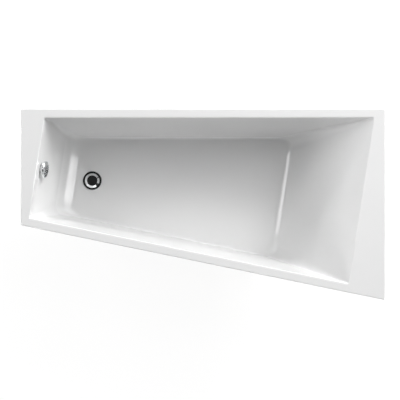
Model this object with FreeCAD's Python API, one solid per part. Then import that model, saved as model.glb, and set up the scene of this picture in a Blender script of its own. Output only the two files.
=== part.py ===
"""Asymmetric acrylic bathtub with feet, pop-up waste, overflow and trap.

Millimetres. The origin is on the floor under the middle of the rim, X runs along the bath from the
drain end to the backrest, Y runs from the front to the wall at the back, and Z is up.
"""
import FreeCAD, Part
import math
import os

from FreeCAD import Placement, Rotation, Vector

# Overall sizes
LENGTH = 1700.0
WIDTH = 892.0
NARROW_END = 542.0
RIM_HEIGHT = 595.0
BASIN_DEPTH = 425.0

# Rim and lip
BACK_RIM = 40.0
FRONT_RIM = 40.0
DRAIN_END_RIM = 37.0
BACKREST_END_RIM = 48.0
END_SKEW = 8.75
LIP_HEIGHT = 40.0
SHEET = 5.0
OUTER_CORNER = 8.0
OUTER_EDGE_ROUND = 3.0
MOUTH_ROUND = 5.0

# Basin walls: lean from the vertical in degrees, and the radius where each wall meets the floor
SIDE_LEAN = 9.2
DRAIN_END_LEAN = 16.7
BACKREST_LEAN = 40.8
SIDE_FILLET = 15.0
DRAIN_END_FILLET = 97.0
BACKREST_FILLET = 50.0
OPENING_CORNER = 8.0
FLOOR_CORNER = 57.0

# Clearances
LAYER_GAP = 0.3
RUNNING_GAP = 0.3
HOLE_GAP = 1.0
SCREW_GAP = 0.1

# Backing, board and battens
BACKING = 4.0
BACKING_TOP_DEPTH = 48.0
BOARD_THICKNESS = 18.0
BOARD_INSET = 28.0
BOARD_DRAIN_GAP = 22.0
BATTEN_WIDTH = 20.0
BATTEN_HEIGHT = 18.0
BATTEN_LIP_GAP = 3.0
BATTEN_END_GAP = 45.0

# Support rails and feet
DRAIN_RAIL_FROM_END = 450.0
BACKREST_RAIL_FROM_FLOOR_END = 71.5
RAIL_WIDTH = 40.0
RAIL_HEIGHT = 25.0
RAIL_SHEET = 2.5
RAIL_END = 27.0
FOOT_OUTSET = 50.0
SPINDLE_R = 6.0
SPINDLE_ABOVE_RAIL = 45.0
SPINDLE_CHAMFER = 1.0
NUT_ACROSS = 19.0
NUT_HEIGHT = 10.0
PAD_R = 25.0
PAD_TOP_R = 15.0
PAD_HEIGHT = 24.0
PAD_FOOT_HEIGHT = 8.0
PAD_FLOOR = 8.0
RAIL_SCREW_R = 2.5
RAIL_SCREW_LENGTH = 15.0
RAIL_SCREW_HEAD_R = 5.0
RAIL_SCREW_HEAD = 3.0
RAIL_SCREW_COUNT = 4
RAIL_SCREW_MARGIN = 45.0

# Waste
DRAIN_INSET = 260.0
DRAIN_ALONG_END = 236.0
FLANGE_R = 44.5
FLANGE_RISE = 4.0
FLANGE_BEVEL = 1.0
FLANGE_FALL = 1.0
FLANGE_SEAT_R = 35.0
FLANGE_SEAT = 2.0
SKIRT_R = 25.0
SKIRT_WALL = 3.0
SKIRT_LENGTH = 28.0
SPIDER_DROP = 18.0
SPIDER_HEIGHT = 6.0
SPIDER_BAR = 4.0
SPIDER_HUB_R = 8.0
SEAL_R = 41.0
TOP_SEAL = 2.0
BOTTOM_SEAL = 3.0
POT_R = 38.0
POT_WALL = 4.0
POT_DEPTH = 62.0
POT_FLANGE_R = 43.0
POT_FLANGE = 4.0
POT_TOP = 8.0
TAIL_R = 24.0
TAIL_WALL = 4.0
TAIL_LENGTH = 18.0
INLET_DROP = 36.0
INLET_REACH = 80.0

# Plug and its lift
PLUG_R = 34.0
PLUG_EDGE = 2.5
PLUG_TOP_R = 24.5
PLUG_SHOULDER = 4.0
PLUG_SEAL_R = 31.0
PLUG_SEAL_BORE_R = 12.0
PLUG_SEAL = 2.5
STEM_R = 4.0
STEM_LENGTH = 52.0
STEM_COLLAR_R = 10.0
STEM_COLLAR = 3.0
LEVER_ARM = 14.0
LEVER_TAIL = 15.0
LEVER_RISE = 15.0
LEVER_WIDTH = 6.0
LEVER_THICKNESS = 5.0
LEVER_HUB_R = 5.0
LEVER_PIN_R = 2.0
CABLE_EYE_R = 1.0

# Overflow
OVERFLOW_DEPTH = 80.0
KNOB_R = 40.0
KNOB_THICKNESS = 14.5
KNOB_EDGE_ROUND = 4.0
KNOB_SOCKET = 8.0
FACE_R = 33.0
FACE_THICKNESS = 5.0
FACE_LIP = 2.0
FACE_SLOT_COUNT = 6
FACE_SLOT = 12.0
FACE_SLOT_HEIGHT = 3.0
FACE_NECK_R = 22.0
FACE_NECK_WALL = 3.0
FACE_HUB_R = 8.0
FACE_NECK_GRIP = 12.0
OVERFLOW_SEAL_R = 32.0
FRONT_SEAL = 1.5
BACK_SEAL = 3.0
CHAMBER_R = 29.0
CHAMBER_WALL = 3.5
CHAMBER_FLANGE_R = 34.0
CHAMBER_FLANGE = 4.0
CHAMBER_LENGTH = 46.0
PARTITION = 4.0
DRUM_ROOM = 18.0
DRUM_ROOM_R = 22.0
DRUM_WALL = 3.0
DRUM_R = 13.0
DRUM_SIDE_GAP = 2.0
COVER = 3.0
KNOB_SPINDLE_R = 4.0
OUTLET_DROP = 66.0
OUTLET_SETBACK = 25.0

# Overflow pipe and its joints
PIPE_R = 20.0
PIPE_WALL = 2.0
PIPE_BEND = 60.0
PIPE_GRIP = 24.0
SOCKET_WALL = 4.0
PIPE_NUT_R = 28.0
PIPE_NUT_LENGTH = 20.0
PIPE_NUT_LIP = 5.0
PIPE_SEAL = 5.0
NUT_LUGS = 8
NUT_LUG_DEPTH = 1.6
NUT_LUG_WIDTH = 7.0

# Control cable
CABLE_R = 3.0
CABLE_BEND = 36.0
FERRULE_R = 5.0
FERRULE_LENGTH = 16.0
PORT_R = 8.0
PORT_LENGTH = 10.0

# Trap
WASHER = 2.0
TRAP_NUT_R = 31.0
TRAP_NUT_LIP = 5.0
TRAP_COLLAR = 4.0
TRAP_TUBE_R = 21.0
TRAP_TUBE_WALL = 3.0
TRAP_DIP = 30.0
BOWL_R = 47.0
BOWL_WALL = 3.0
BOWL_HEIGHT = 46.0
BOWL_DROP = 3.0
BOWL_ROUND = 6.0
OUTLET_R = 20.0
OUTLET_WALL = 2.5
OUTLET_LENGTH = 55.0
OUTLET_COLLAR = 5.0
OUTLET_COLLAR_RISE = 2.5

# Places that follow from the sizes above
DECK_Z = RIM_HEIGHT
FLOOR_Z = RIM_HEIGHT - BASIN_DEPTH
UNDER = SHEET + LAYER_GAP + BACKING
BOARD_TOP = FLOOR_Z - UNDER
RAIL_TOP = BOARD_TOP - BOARD_THICKNESS
FRONT_ANGLE = math.atan2(WIDTH - NARROW_END, LENGTH)
CUT = 1.0
LEAST_CORNER = 1.0
LEAST_SECTION_STEP = 0.45
MOUTH_STEPS = 4
FILLET_STEPS = 6
UP = Vector(0, 0, 1)


def outer_corners():
    """Corners of the rim, anticlockwise from the front corner of the narrow end."""
    back = WIDTH / 2
    return [
        Vector(-LENGTH / 2, back - NARROW_END, 0),
        Vector(LENGTH / 2, -back, 0),
        Vector(LENGTH / 2, back, 0),
        Vector(-LENGTH / 2, back, 0),
    ]


def opening_corners():
    """Corners of the basin's mouth, anticlockwise from the front corner of the drain end."""
    back = WIDTH / 2 - BACK_RIM
    slope = math.tan(FRONT_ANGLE)
    skew = math.tan(math.radians(END_SKEW))
    front_at_middle = outer_corners()[0].y - slope * LENGTH / 2 + FRONT_RIM / math.cos(FRONT_ANGLE)
    left = -LENGTH / 2 + DRAIN_END_RIM
    front_left = Vector(left, front_at_middle - slope * left, 0)
    back_right = Vector(LENGTH / 2 - BACKREST_END_RIM, back, 0)
    right_x = (back_right.x - skew * (back - front_at_middle)) / (1 + skew * slope)
    front_right = Vector(right_x, front_at_middle - slope * right_x, 0)
    back_left = Vector(left + skew * (back - front_left.y), back, 0)
    return [front_left, front_right, back_right, back_left]


OPENING = opening_corners()
SIDE_SLOPE = math.radians(SIDE_LEAN)
BACKREST_SLOPE = math.radians(BACKREST_LEAN)
DRAIN_END_SLOPE = math.radians(DRAIN_END_LEAN)
LEANS = [SIDE_SLOPE, BACKREST_SLOPE, SIDE_SLOPE, DRAIN_END_SLOPE]
FILLETS = [SIDE_FILLET, BACKREST_FILLET, SIDE_FILLET, DRAIN_END_FILLET]


def wall_inset(side, depth, outset):
    """How far a wall stands in from the mouth's edge at a depth, for a skin outset from the basin."""
    lean = LEANS[side]
    radius = FILLETS[side]
    centre_depth = BASIN_DEPTH - radius
    centre_inset = centre_depth * math.tan(lean) + radius / math.cos(lean)
    skin = radius + outset
    if depth > centre_depth + skin * math.sin(lean):
        drop = min(depth - centre_depth, skin)
        return centre_inset - math.sqrt(skin * skin - drop * drop)
    inset = depth * math.tan(lean) - outset / math.cos(lean)
    if outset == 0 and depth < MOUTH_ROUND * (1 - math.sin(lean)):
        middle = MOUTH_ROUND * (math.tan(lean) - 1 / math.cos(lean))
        height = MOUTH_ROUND - max(depth, 0)
        inset = middle + math.sqrt(MOUTH_ROUND * MOUTH_ROUND - height * height)
    return inset


def rounded_wire(corners, radii, z):
    """Closed wire of lines and corner arcs through a convex anticlockwise outline."""
    count = len(corners)
    starts = []
    ends = []
    middles = []
    for i in range(count):
        corner = corners[i]
        to_last = (corners[i - 1] - corner).normalize()
        to_next = (corners[(i + 1) % count] - corner).normalize()
        half = to_last.getAngle(to_next) / 2
        reach = radii[i] / math.tan(half)
        bisector = (to_last + to_next).normalize()
        centre = corner + bisector * (radii[i] / math.sin(half))
        starts.append(corner + to_last * reach)
        ends.append(corner + to_next * reach)
        middles.append(centre - bisector * radii[i])
    edges = []
    lift = Vector(0, 0, z)
    for i in range(count):
        edges.append(Part.Arc(starts[i] + lift, middles[i] + lift, ends[i] + lift).toShape())
        edges.append(Part.LineSegment(ends[i] + lift, starts[(i + 1) % count] + lift).toShape())
    return Part.Wire(edges)


def meet(point_a, along_a, point_b, along_b):
    """Where two lines in the XY plane cross."""
    across = along_a.x * along_b.y - along_a.y * along_b.x
    gap = point_b - point_a
    return point_a + along_a * ((gap.x * along_b.y - gap.y * along_b.x) / across)


def inset_outline(corners, insets):
    """Outline with each side moved in by its own inset."""
    count = len(corners)
    points = []
    headings = []
    for i in range(count):
        heading = (corners[(i + 1) % count] - corners[i]).normalize()
        points.append(corners[i] + Vector(-heading.y, heading.x, 0) * insets[i])
        headings.append(heading)
    return [meet(points[i - 1], headings[i - 1], points[i], headings[i]) for i in range(count)]


def basin_wire(depth, outset):
    """Section of the basin, or of a skin outset from it, at a depth below the rim."""
    insets = [wall_inset(side, depth, outset) for side in range(4)]
    share = min(max(depth / BASIN_DEPTH, 0), 1)
    radius = OPENING_CORNER + (FLOOR_CORNER - OPENING_CORNER) * share + outset
    return rounded_wire(inset_outline(OPENING, insets), [radius] * 4, DECK_Z - depth)


def basin_depths(top, outset):
    """Depths of the sections that follow the mouth's round and every floor fillet."""
    depths = {top, BASIN_DEPTH + outset}
    if outset == 0:
        for step in range(MOUTH_STEPS + 1):
            depths.add(MOUTH_ROUND * (1 - math.cos(math.pi / 2 * step / MOUTH_STEPS)))
    for lean, radius in zip(LEANS, FILLETS):
        for step in range(FILLET_STEPS):
            angle = lean + (math.pi / 2 - lean) * step / FILLET_STEPS
            depths.add(BASIN_DEPTH - radius + (radius + outset) * math.sin(angle))
    kept = []
    for depth in sorted(depths):
        if kept and depth - kept[-1] < LEAST_SECTION_STEP:
            continue
        if depth > BASIN_DEPTH + outset - LEAST_SECTION_STEP:
            continue
        kept.append(depth)
    return kept + [BASIN_DEPTH + outset]


def basin_solid(top, outset):
    """Solid inside a skin outset from the basin, from a depth down to the floor."""
    return Part.makeLoft([basin_wire(d, outset) for d in basin_depths(top, outset)], True, True)


def prism(corners, low, high, radius):
    """Upright block on an outline with rounded upright edges."""
    wire = rounded_wire(corners, [radius] * len(corners), low)
    return Part.Face(wire).extrude(Vector(0, 0, high - low))


def rod(radius, low, high):
    """Round bar on the Z axis between two heights."""
    return Part.makeCylinder(radius, high - low, Vector(0, 0, low))


def ring(outer, inner, low, high):
    """Round ring on the Z axis between two heights."""
    return rod(outer, low, high).cut(rod(inner, low - CUT, high + CUT))


def turned(points):
    """Solid of revolution about the Z axis from (radius, height) points."""
    outline = Part.makePolygon([Vector(r, 0, z) for r, z in points + points[:1]])
    return Part.Face(outline).revolve(Vector(0, 0, 0), UP, 360)


def along(shape, base, direction):
    """Shape made on the Z axis, moved so that Z runs in a direction from a base point."""
    moved = shape.copy()
    moved.Placement = Placement(base, Rotation(UP, direction))
    return moved


def fused(shapes):
    """One solid from overlapping shapes."""
    whole = shapes[0]
    for shape in shapes[1:]:
        whole = whole.fuse(shape)
    return whole.removeSplitter()


# The waste's own frame: origin on the basin floor at the drain, X away from the drain end wall
END_ALONG = (OPENING[0] - OPENING[3]).normalize()
END_INWARD = Vector(-END_ALONG.y, END_ALONG.x, 0)
DRAIN = OPENING[3] + END_ALONG * DRAIN_ALONG_END + END_INWARD * DRAIN_INSET + UP * FLOOR_Z
WASTE_FRAME = Placement(DRAIN, Rotation(Vector(1, 0, 0), END_INWARD))

# The overflow's own frame: origin on the end wall, Z into the basin, X down the wall
WALL_POINT = Vector(OVERFLOW_DEPTH * math.tan(DRAIN_END_SLOPE) - DRAIN_INSET, 0, BASIN_DEPTH - OVERFLOW_DEPTH)
OVERFLOW_IN_WASTE = Placement(WALL_POINT, Rotation(Vector(0, 1, 0), 90 - DRAIN_END_LEAN))


def in_waste(shape):
    """Shape made in the waste's frame, moved to its place."""
    moved = shape.copy()
    moved.Placement = WASTE_FRAME.multiply(shape.Placement)
    return moved


def overflow_to_waste(shape):
    """Shape made in the overflow's frame, moved to the waste's frame."""
    moved = shape.copy()
    moved.Placement = OVERFLOW_IN_WASTE.multiply(shape.Placement)
    return moved


def in_overflow(shape):
    """Shape made in the overflow's frame, moved to its place."""
    return in_waste(overflow_to_waste(shape))


# Heights in the waste's frame
POT_Z = -UNDER - BOTTOM_SEAL
POT_FLOOR_Z = POT_Z - POT_DEPTH
INLET_Z = POT_Z - INLET_DROP
TAIL_Z = POT_FLOOR_Z - TAIL_LENGTH
SEAT_Z = TOP_SEAL + FLANGE_SEAT
PLUG_Z = SEAT_Z + PLUG_SEAL
STEM_END_Z = PLUG_Z - STEM_LENGTH
LEVER_Z = STEM_END_Z - RUNNING_GAP - LEVER_THICKNESS / 2
PIVOT_Y = -LEVER_ARM
PORT_Z = LEVER_Z + LEVER_RISE
SOCKET_R = PIPE_R + RUNNING_GAP
SOCKET_OUTER_R = SOCKET_R + SOCKET_WALL

# Heights in the overflow's frame
BACK_Z = -UNDER
CHAMBER_Z = BACK_Z - BACK_SEAL
PARTITION_Z = CHAMBER_Z - CHAMBER_LENGTH
DRUM_TOP_Z = PARTITION_Z - PARTITION
DRUM_END_Z = DRUM_TOP_Z - DRUM_ROOM
FACE_Z = FRONT_SEAL + FACE_THICKNESS
KNOB_Z = FACE_Z + RUNNING_GAP
OUTLET_TOP = OVERFLOW_IN_WASTE.multVec(Vector(0, 0, CHAMBER_Z - OUTLET_SETBACK))
OUTLET_END_Z = OUTLET_TOP.z - OUTLET_DROP
PIPE_TOP_Z = OUTLET_END_Z + PIPE_GRIP
INLET_END_X = -INLET_REACH
PIPE_END_X = INLET_END_X + PIPE_GRIP
DRUM_PORT = OVERFLOW_IN_WASTE.multVec(Vector(DRUM_R, 0, (DRUM_TOP_Z + DRUM_END_Z) / 2))


def tub_shell():
    """Acrylic sheet: flat rim, turned-down lip and basin, with the drain and overflow holes."""
    block = prism(outer_corners(), DECK_Z - LIP_HEIGHT, DECK_Z, OUTER_CORNER)
    top_edges = [e for e in block.Edges if e.BoundBox.ZMin > DECK_Z - CUT / 2]
    block = block.makeFillet(OUTER_EDGE_ROUND, top_edges)
    hollow_corner = max(OUTER_CORNER - SHEET, LEAST_CORNER)
    hollow_outline = inset_outline(outer_corners(), [SHEET] * 4)
    hollow = prism(hollow_outline, DECK_Z - LIP_HEIGHT - CUT, DECK_Z - SHEET, hollow_corner)
    shell = block.cut(hollow).fuse(basin_solid(SHEET / 2, SHEET))
    shell = shell.cut(basin_solid(-CUT, 0))
    for hole in drain_and_overflow_holes():
        shell = shell.cut(hole)
    return shell.removeSplitter()


def drain_and_overflow_holes():
    """Cutters for the drain in the basin floor and the overflow in the end wall."""
    drain = in_waste(rod(SKIRT_R + HOLE_GAP, -UNDER - CUT, CUT))
    overflow = in_overflow(rod(FACE_NECK_R + HOLE_GAP, -UNDER - CUT, CUT))
    return [drain, overflow]


def glassfibre_backing():
    """Sprayed layer on the outside of the basin."""
    outer = basin_solid(BACKING_TOP_DEPTH, SHEET + LAYER_GAP + BACKING)
    layer = outer.cut(basin_solid(BACKING_TOP_DEPTH - CUT, SHEET + LAYER_GAP))
    for hole in drain_and_overflow_holes():
        layer = layer.cut(hole)
    return layer


def floor_outline(distance):
    """Outline of the flat basin floor, moved in by a distance."""
    insets = [wall_inset(side, BASIN_DEPTH, 0) + distance for side in range(4)]
    return inset_outline(OPENING, insets)


BOARD_START_X = DRAIN.x + POT_FLANGE_R + BOARD_DRAIN_GAP


def rail_places():
    """X of the two support rails: one beside the drain, one under the backrest's foot."""
    floor_end_x = floor_outline(0)[1].x
    return [-LENGTH / 2 + DRAIN_RAIL_FROM_END, floor_end_x - BACKREST_RAIL_FROM_FLOOR_END]


def floor_edges_at(x):
    """Y of the front and back edges of the basin's underside at an X."""
    corners = floor_outline(0)
    front = corners[0]
    slope = (corners[1].y - front.y) / (corners[1].x - front.x)
    return front.y + slope * (x - front.x), corners[2].y


def foot_places():
    """Name and (x, y) of the four feet."""
    places = []
    for end, x in zip(("drain", "backrest"), rail_places()):
        front, back = floor_edges_at(x)
        places.append((end + "_front", Vector(x, front - FOOT_OUTSET, 0)))
        places.append((end + "_back", Vector(x, back + FOOT_OUTSET, 0)))
    return places


def screw_places():
    """Places of the screws that hold the rails to the base board."""
    places = []
    for x in rail_places():
        front, back = floor_edges_at(x)
        low = front + RAIL_SCREW_MARGIN
        step = (back - RAIL_SCREW_MARGIN - low) / (RAIL_SCREW_COUNT - 1)
        places += [Vector(x, low + step * i, 0) for i in range(RAIL_SCREW_COUNT)]
    return places


def base_board():
    """Stiffening board under the basin floor, with pilot holes for the rail screws."""
    board = prism(floor_outline(BOARD_INSET), RAIL_TOP, BOARD_TOP, FLOOR_CORNER - BOARD_INSET)
    clear = Part.makeBox(LENGTH, WIDTH, RIM_HEIGHT, Vector(BOARD_START_X - LENGTH, -WIDTH / 2, 0))
    board = board.cut(clear)
    reach = RAIL_SCREW_LENGTH - RAIL_SHEET + RUNNING_GAP
    for place in screw_places():
        pilot = rod(RAIL_SCREW_R + SCREW_GAP, RAIL_TOP - CUT, RAIL_TOP + reach)
        pilot.translate(place)
        board = board.cut(pilot)
    return board


def rim_batten(start, end):
    """Wooden strip under the rim, along the inside of the lip between two outer corners."""
    along_edge = (end - start).normalize()
    inward = Vector(-along_edge.y, along_edge.x, 0)
    near = SHEET + BATTEN_LIP_GAP
    first = start + along_edge * BATTEN_END_GAP
    last = end - along_edge * BATTEN_END_GAP
    points = [first + inward * near, last + inward * near]
    points += [last + inward * (near + BATTEN_WIDTH), first + inward * (near + BATTEN_WIDTH)]
    low = Vector(0, 0, DECK_Z - SHEET - BATTEN_HEIGHT)
    face = Part.Face(Part.makePolygon([p + low for p in points + points[:1]]))
    return face.extrude(Vector(0, 0, BATTEN_HEIGHT))


def support_rail(x):
    """Steel channel across the underside, open below, drilled for two feet and its screws."""
    places = [place for name, place in foot_places() if place.x == x]
    low = min(p.y for p in places) - RAIL_END
    high = max(p.y for p in places) + RAIL_END
    outside_base = Vector(x - RAIL_WIDTH / 2, low, RAIL_TOP - RAIL_HEIGHT)
    outside = Part.makeBox(RAIL_WIDTH, high - low, RAIL_HEIGHT, outside_base)
    inner_width = RAIL_WIDTH - 2 * RAIL_SHEET
    inside_base = Vector(x - inner_width / 2, low - CUT, RAIL_TOP - RAIL_HEIGHT - CUT)
    inside = Part.makeBox(inner_width, high - low + 2 * CUT, RAIL_HEIGHT - RAIL_SHEET + CUT, inside_base)
    rail = outside.cut(inside)
    holes = [(p, SPINDLE_R + RUNNING_GAP) for p in places]
    holes += [(p, RAIL_SCREW_R + SCREW_GAP) for p in screw_places() if p.x == x]
    for place, radius in holes:
        hole = rod(radius, RAIL_TOP - RAIL_SHEET - CUT, RAIL_TOP + CUT)
        hole.translate(place)
        rail = rail.cut(hole)
    return rail


def rail_screws():
    """Pan-head screws through the rails into the base board."""
    head_top = RAIL_TOP - RAIL_SHEET
    head = rod(RAIL_SCREW_HEAD_R, head_top - RAIL_SCREW_HEAD, head_top)
    screw = head.fuse(rod(RAIL_SCREW_R, head_top - CUT, head_top + RAIL_SCREW_LENGTH))
    screws = []
    for place in screw_places():
        copy = screw.copy()
        copy.translate(place)
        screws.append(copy)
    return Part.makeCompound(screws)


def foot_spindle(place):
    """Threaded bar that carries one corner, chamfered at its top."""
    bar = rod(SPINDLE_R, PAD_FLOOR, RAIL_TOP + SPINDLE_ABOVE_RAIL)
    top = [e for e in bar.Edges if e.BoundBox.ZMin > RAIL_TOP]
    bar = bar.makeChamfer(SPINDLE_CHAMFER, top)
    bar.translate(place)
    return bar


def foot_pad(place):
    """Moulded pad that the spindle stands in."""
    profile = [(0, 0), (PAD_R, 0), (PAD_R, PAD_FOOT_HEIGHT), (PAD_TOP_R, PAD_HEIGHT), (0, PAD_HEIGHT)]
    pad = turned(profile).cut(rod(SPINDLE_R + SCREW_GAP, PAD_FLOOR, PAD_HEIGHT + CUT))
    pad.translate(place)
    return pad


def hex_nut(low):
    """Hexagon nut round a spindle, its underside at a height."""
    reach = NUT_ACROSS / 2 / math.cos(math.pi / 6)
    turns = [i * math.pi / 3 for i in range(7)]
    points = [Vector(reach * math.cos(turn), reach * math.sin(turn), low) for turn in turns]
    nut = Part.Face(Part.makePolygon(points)).extrude(Vector(0, 0, NUT_HEIGHT))
    return nut.cut(rod(SPINDLE_R + RUNNING_GAP, low - CUT, low + NUT_HEIGHT + CUT))


def foot_nuts(low):
    """One nut on each foot, all at the same height."""
    nuts = []
    for name, place in foot_places():
        nut = hex_nut(low)
        nut.translate(place)
        nuts.append(nut)
    return Part.makeCompound(nuts)


def waste_flange():
    """Chrome ring on the basin floor, with a threaded skirt and a seat for the plug."""
    bore = SKIRT_R - SKIRT_WALL
    low = TOP_SEAL - SKIRT_LENGTH
    rim_top = TOP_SEAL + FLANGE_RISE
    profile = [
        (bore, low),
        (SKIRT_R, low),
        (SKIRT_R, TOP_SEAL),
        (FLANGE_R, TOP_SEAL),
        (FLANGE_R, rim_top - FLANGE_FALL - FLANGE_BEVEL),
        (FLANGE_R - FLANGE_BEVEL, rim_top - FLANGE_FALL),
        (FLANGE_SEAT_R + FLANGE_BEVEL, rim_top),
        (FLANGE_SEAT_R, rim_top - FLANGE_BEVEL),
        (FLANGE_SEAT_R, SEAT_Z),
        (bore, SEAT_Z),
    ]
    return in_waste(turned(profile))


def plug_guide():
    """Spider pressed into the flange's skirt: a hub that guides the plug's stem on four arms."""
    bore = SKIRT_R - SKIRT_WALL - SCREW_GAP
    top = TOP_SEAL - SPIDER_DROP
    low = top - SPIDER_HEIGHT
    arms = [rod(SPIDER_HUB_R, low, top)]
    for length, width in ((2 * bore, SPIDER_BAR), (SPIDER_BAR, 2 * bore)):
        arms.append(Part.makeBox(length, width, SPIDER_HEIGHT, Vector(-length / 2, -width / 2, low)))
    spider = fused(arms).common(rod(bore, low, top))
    return in_waste(spider.cut(rod(STEM_R + RUNNING_GAP, low - CUT, top + CUT)))


def waste_seals():
    """Rubber rings above and below the basin floor."""
    top = ring(SEAL_R, SKIRT_R + RUNNING_GAP, 0, TOP_SEAL)
    bottom = ring(SEAL_R, SKIRT_R + RUNNING_GAP, POT_Z, POT_Z + BOTTOM_SEAL)
    return in_waste(top), in_waste(bottom)


def cable_port(base, direction):
    """Boss that a cable ferrule screws into, and the cutter for its bore."""
    boss = along(rod(PORT_R, -POT_WALL, PORT_LENGTH), base, direction)
    bore = along(rod(FERRULE_R + SCREW_GAP, -PORT_R, PORT_LENGTH + CUT), base, direction)
    return boss, bore


def waste_body():
    """Pot under the drain, with the overflow inlet, the tail and the cable port."""
    inner_r = POT_R - POT_WALL
    inlet_way = Vector(-1, 0, 0)
    inlet_base = Vector(0, 0, INLET_Z)
    boss, port_bore = cable_port(Vector(0, -POT_R, PORT_Z), Vector(0, -1, 0))
    outside = [
        rod(POT_R, POT_FLOOR_Z, POT_Z),
        rod(POT_FLANGE_R, POT_Z - POT_FLANGE, POT_Z),
        rod(TAIL_R, TAIL_Z, POT_FLOOR_Z + CUT),
        along(rod(SOCKET_OUTER_R, 0, INLET_REACH), inlet_base, inlet_way),
        boss,
    ]
    body = fused(outside)
    waterway_r = PIPE_R - PIPE_WALL
    inside = [
        rod(inner_r, POT_FLOOR_Z + POT_WALL, POT_Z - POT_TOP),
        rod(SKIRT_R + SCREW_GAP, POT_Z - POT_TOP - CUT, POT_Z + CUT),
        rod(TAIL_R - TAIL_WALL, TAIL_Z - CUT, POT_FLOOR_Z + POT_WALL + CUT),
        along(rod(waterway_r, inner_r / 2, INLET_REACH), inlet_base, inlet_way),
        along(rod(SOCKET_R, INLET_REACH - PIPE_GRIP, INLET_REACH + CUT), inlet_base, inlet_way),
        port_bore,
    ]
    for cutter in inside:
        body = body.cut(cutter)
    body = body.fuse(lever_bearing()).removeSplitter()
    return in_waste(body)


def lever_bearing():
    """Two ears from the pot's wall that hold the lever's pin."""
    inner_r = POT_R - POT_WALL
    half = LEVER_WIDTH / 2 + RUNNING_GAP
    ears = []
    for side in (-1, 1):
        low_x = half if side > 0 else -half - LEVER_THICKNESS
        height = 2 * LEVER_HUB_R
        base = Vector(low_x, -inner_r - POT_WALL / 2, LEVER_Z - LEVER_HUB_R)
        reach = inner_r + POT_WALL / 2 + PIVOT_Y + LEVER_HUB_R
        ears.append(Part.makeBox(LEVER_THICKNESS, reach, height, base))
    pair = ears[0].fuse(ears[1])
    return pair.cut(lever_axle(LEVER_PIN_R + SCREW_GAP, half + LEVER_THICKNESS + CUT))


def lever_axle(radius, half_length):
    """Round bar on the lever's pivot."""
    return along(rod(radius, -half_length, half_length), Vector(0, PIVOT_Y, LEVER_Z), Vector(1, 0, 0))


def lift_lever():
    """Balanced crank under the plug stem: a level arm that lifts and an upright arm that the cable pulls."""
    tip = STEM_R
    tail = PIVOT_Y - LEVER_TAIL
    base_x = -LEVER_WIDTH / 2
    level_base = Vector(base_x, tail, LEVER_Z - LEVER_THICKNESS / 2)
    level = Part.makeBox(LEVER_WIDTH, tip - tail, LEVER_THICKNESS, level_base)
    upright_base = Vector(base_x, PIVOT_Y - LEVER_THICKNESS / 2, LEVER_Z)
    upright = Part.makeBox(LEVER_WIDTH, LEVER_THICKNESS, LEVER_RISE + LEVER_THICKNESS / 2, upright_base)
    lever = fused([lever_axle(LEVER_HUB_R - CUT, LEVER_WIDTH / 2), level, upright])
    eye_bar = rod(CABLE_EYE_R, -LEVER_THICKNESS, LEVER_THICKNESS)
    eye = along(eye_bar, Vector(0, PIVOT_Y, PORT_Z), Vector(0, 1, 0))
    lever = lever.cut(lever_axle(LEVER_PIN_R + RUNNING_GAP, LEVER_WIDTH))
    return in_waste(lever.cut(eye))


def lever_pin():
    """Pin through the pot's ears that the lever turns on."""
    return in_waste(lever_axle(LEVER_PIN_R, LEVER_WIDTH / 2 + RUNNING_GAP + LEVER_THICKNESS))


def plug_cap():
    """Chrome disc that covers the drain, with a sloped shoulder round a flat top."""
    edge_top = PLUG_Z + PLUG_EDGE
    top = edge_top + PLUG_SHOULDER
    return in_waste(turned([(0, PLUG_Z), (PLUG_R, PLUG_Z), (PLUG_R, edge_top), (PLUG_TOP_R, top), (0, top)]))


def plug_seal():
    """Rubber ring under the plug cap, on the flange's seat when closed."""
    return in_waste(ring(PLUG_SEAL_R, PLUG_SEAL_BORE_R, SEAT_Z, PLUG_Z))


def plug_stem():
    """Brass stem under the cap, guided by the flange's spider."""
    collar = rod(STEM_COLLAR_R, PLUG_Z - STEM_COLLAR, PLUG_Z)
    return in_waste(collar.fuse(rod(STEM_R, STEM_END_Z, PLUG_Z - CUT)))


def overflow_knob():
    """Round chrome knob on the end wall, with a blind socket for its spindle."""
    disc = rod(KNOB_R, KNOB_Z, KNOB_Z + KNOB_THICKNESS)
    rims = [e for e in disc.Edges if len(e.Vertexes) == 1]
    disc = disc.makeFillet(KNOB_EDGE_ROUND, rims)
    return in_overflow(disc.cut(rod(KNOB_SPINDLE_R + SCREW_GAP, KNOB_Z - CUT, KNOB_Z + KNOB_SOCKET)))


def overflow_spindle():
    """Spindle from the knob through the overflow, with the cable drum on its end."""
    bar = rod(KNOB_SPINDLE_R, DRUM_END_Z + DRUM_SIDE_GAP, KNOB_Z + KNOB_SOCKET)
    drum = rod(DRUM_R, DRUM_END_Z + DRUM_SIDE_GAP, DRUM_TOP_Z - DRUM_SIDE_GAP)
    middle = (DRUM_END_Z + DRUM_TOP_Z) / 2
    groove = Part.makeTorus(DRUM_R, CABLE_R / 2, Vector(0, 0, middle))
    return in_overflow(bar.fuse(drum).cut(groove))


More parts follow.
